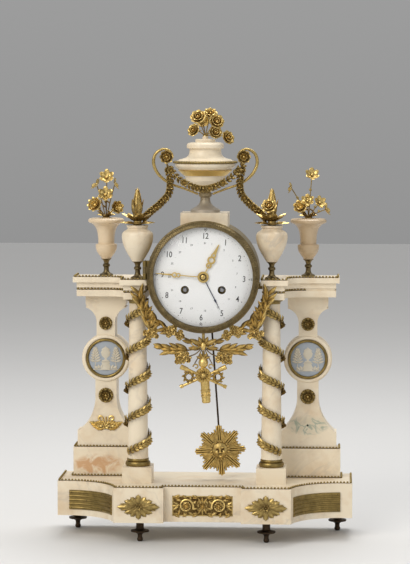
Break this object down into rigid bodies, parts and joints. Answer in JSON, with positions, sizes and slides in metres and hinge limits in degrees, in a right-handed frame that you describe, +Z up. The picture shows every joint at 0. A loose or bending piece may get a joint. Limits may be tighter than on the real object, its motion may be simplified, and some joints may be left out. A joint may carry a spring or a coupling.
{
  "type": "portico clock",
  "caption": "Portico mantel clock of white marble and gilt bronze: drum dial between spiral-garlanded columns, vases and an urn above, sunburst pendulum below.",
  "frame": {"origin": "middle of the footprint at the level of the feet", "axes": "+X to the right seen from the front, +Y to the back, +Z up"},
  "size_m": [0.34, 0.1227, 0.4932],
  "materials": {
    "marble": "polished white marble, honey toned with age",
    "gilt": "worn gilding on bronze, dark in the hollows",
    "brass": "brown aged brass",
    "beads": "gilt beads with dark gaps",
    "dark_bronze": "dark patinated bronze",
    "grey_bronze": "grey worn bronze",
    "jasper": "matt pale blue jasper with white relief",
    "enamel": "white enamel with dark figures",
    "glass": "clear domed glass",
    "steel": "plain steel",
    "blued_steel": "blued steel"
  },
  "bodies": {
    "frame": {"base_plinth": "marble", "feet": "dark_bronze", "bead_chains": "beads", "frieze_panel": "gilt", "lozenge_mounts": "gilt", "reeded_panels": "brass", "pier_plinths": "marble", "piers": "marble", "medallion_frames": "gilt", "medallions": "jasper", "pier_rosettes": "gilt", "foliage_mount": "gilt", "column_blocks": "marble", "column_bases": "dark_bronze", "column_shafts": "marble", "column_capitals": "gilt", "column_garland_left": "gilt", "column_garland_right": "gilt", "tie_rods": "steel", "entablature_left": "marble", "entablature_right": "marble", "vase_feet": "dark_bronze", "outer_vases": "marble", "inner_vases": "marble", "leaf_finials": "gilt", "bouquets": "gilt", "urn_plinth": "marble", "urn_foot": "grey_bronze", "urn_bowl": "marble", "urn_band": "gilt", "urn_lid": "marble", "urn_handles": "gilt", "urn_bouquet": "gilt", "swags": "gilt", "drum_case": "brass", "drum_lugs": "brass", "hinge_pins": "steel", "dial": "enamel", "laurel_garland": "gilt", "trophy_mount": "gilt", "front_plate": "brass", "back_plate": "brass", "bell": "brass"},
    "bezel_leaf": {"bezel": "brass", "bezel_glass": "glass"},
    "back_leaf": {"back_door": "brass"},
    "minute": {"minute_hand": "gilt", "centre_arbor": "brass"},
    "motion_wheel": {"minute_wheel": "brass"},
    "hour": {"hour_hand": "gilt"},
    "date": {"date_hand": "blued_steel"},
    "going": {"going_barrel": "brass"},
    "strike": {"strike_barrel": "brass"},
    "key_going": {"winding_arbor_going": "steel"},
    "key_strike": {"winding_arbor_strike": "steel"},
    "escapement": {"escape_wheel": "brass"},
    "anchor": {"anchor": "steel"},
    "pendulum": {"pendulum_rod": "steel", "pendulum_bob": "gilt"},
    "hammer": {"bell_hammer": "steel"}
  },
  "joints": [
    {"name": "pendulum_swing", "type": "hinge", "parent": "frame", "child": "pendulum", "pos_m": [0, 0.0124, 0.3429], "axis": [0, 1, 0], "range_deg": [-2, 10]},
    {"name": "anchor_rock", "type": "hinge", "parent": "frame", "child": "anchor", "pos_m": [0, 0, 0.3429], "axis": [0, 1, 0], "range_deg": [-2, 10]},
    {"name": "minute_turn", "type": "hinge", "parent": "frame", "child": "minute", "pos_m": [0, 0, 0.3029], "axis": [0, 1, 0], "continuous": true},
    {"name": "motion_wheel_turn", "type": "hinge", "parent": "frame", "child": "motion_wheel", "pos_m": [0, -0.028, 0.3209], "axis": [0, 1, 0], "continuous": true},
    {"name": "hour_turn", "type": "hinge", "parent": "frame", "child": "hour", "pos_m": [0, -0.03, 0.3029], "axis": [0, 1, 0], "continuous": true},
    {"name": "date_turn", "type": "hinge", "parent": "frame", "child": "date", "pos_m": [0, -0.032, 0.3029], "axis": [0, 1, 0], "continuous": true},
    {"name": "going_barrel_turn", "type": "hinge", "parent": "frame", "child": "going", "pos_m": [0.021, 0, 0.2881], "axis": [0, 1, 0], "continuous": true},
    {"name": "strike_barrel_turn", "type": "hinge", "parent": "frame", "child": "strike", "pos_m": [-0.021, 0, 0.2881], "axis": [0, 1, 0], "continuous": true},
    {"name": "going_winding", "type": "hinge", "parent": "frame", "child": "key_going", "pos_m": [0.021, -0.028, 0.2881], "axis": [0, 1, 0], "continuous": true},
    {"name": "strike_winding", "type": "hinge", "parent": "frame", "child": "key_strike", "pos_m": [-0.021, -0.028, 0.2881], "axis": [0, 1, 0], "continuous": true},
    {"name": "escape_turn", "type": "hinge", "parent": "frame", "child": "escapement", "pos_m": [0, 0.003, 0.32832], "axis": [0, 1, 0], "continuous": true},
    {"name": "bezel_hinge", "type": "hinge", "parent": "frame", "child": "bezel_leaf", "pos_m": [-0.0666, -0.0362, 0.31], "axis": [0, 0, -1], "range_deg": [0, 110]},
    {"name": "back_door_hinge", "type": "hinge", "parent": "frame", "child": "back_leaf", "pos_m": [-0.0647, 0.0476, 0.31], "axis": [0, 0, 1], "range_deg": [0, 90]},
    {"name": "hammer_lift", "type": "hinge", "parent": "frame", "child": "hammer", "pos_m": [-0.038, 0.008, 0.2789], "axis": [0, 1, 0], "range_deg": [0, 20], "stiffness_Nm_per_rad": 0.004, "springref_deg": -20.05}
  ],
  "couplings": [
    {"joint": "anchor_rock", "follows": "pendulum_swing", "ratio": 1},
    {"joint": "motion_wheel_turn", "follows": "minute_turn", "ratio": -0.33333},
    {"joint": "hour_turn", "follows": "minute_turn", "ratio": 0.083333},
    {"joint": "date_turn", "follows": "minute_turn", "ratio": 0.0013441},
    {"joint": "going_barrel_turn", "follows": "minute_turn", "ratio": 0.020833}
  ]
}
